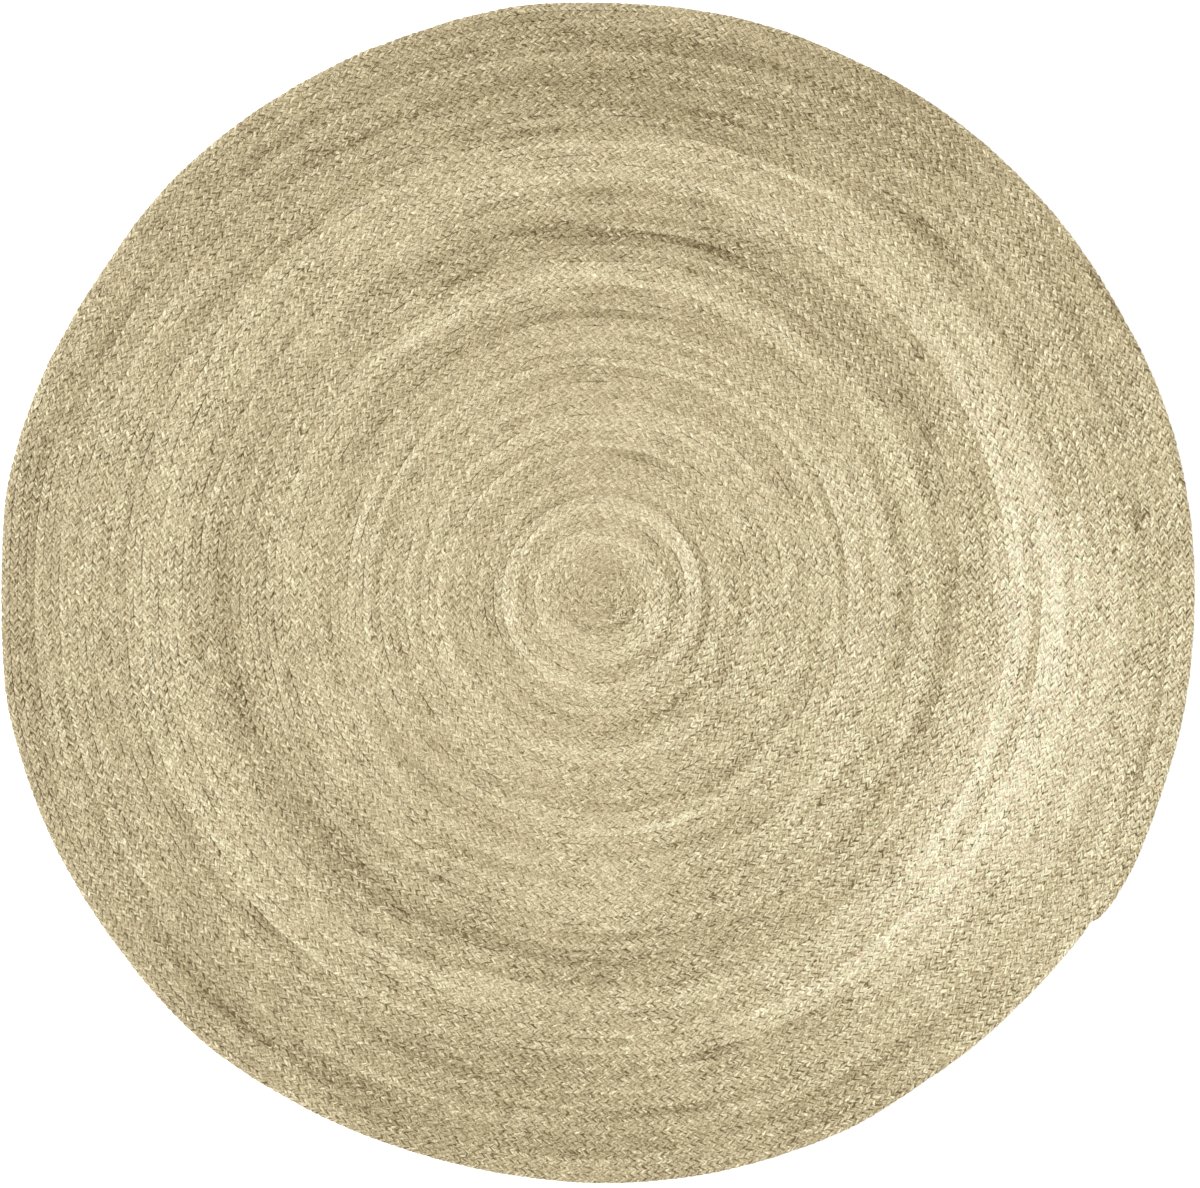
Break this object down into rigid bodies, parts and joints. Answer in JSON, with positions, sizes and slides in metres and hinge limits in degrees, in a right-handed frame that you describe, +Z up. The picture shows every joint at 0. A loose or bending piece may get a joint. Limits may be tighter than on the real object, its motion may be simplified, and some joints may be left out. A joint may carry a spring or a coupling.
{
  "type": "round braided jute rug",
  "caption": "Flat round floor rug: one long jute braid coiled from the centre and sewn edge to edge, its end tapered into the rim.",
  "frame": {"origin": "middle of the rug's bounding box, on the floor under it", "axes": "+Z up out of the rug's top; the coil winds outwards clockwise seen from +Z, and the braid's end tapers into the rim at 326.5 degrees, anticlockwise from +X"},
  "size_m": [1.5276, 1.5106, 0.0075],
  "materials": {
    "jute": "matt plaited jute with a soft straw sheen"
  },
  "bodies": {
    "root": {"rug": "jute"}
  },
  "joints": []
}
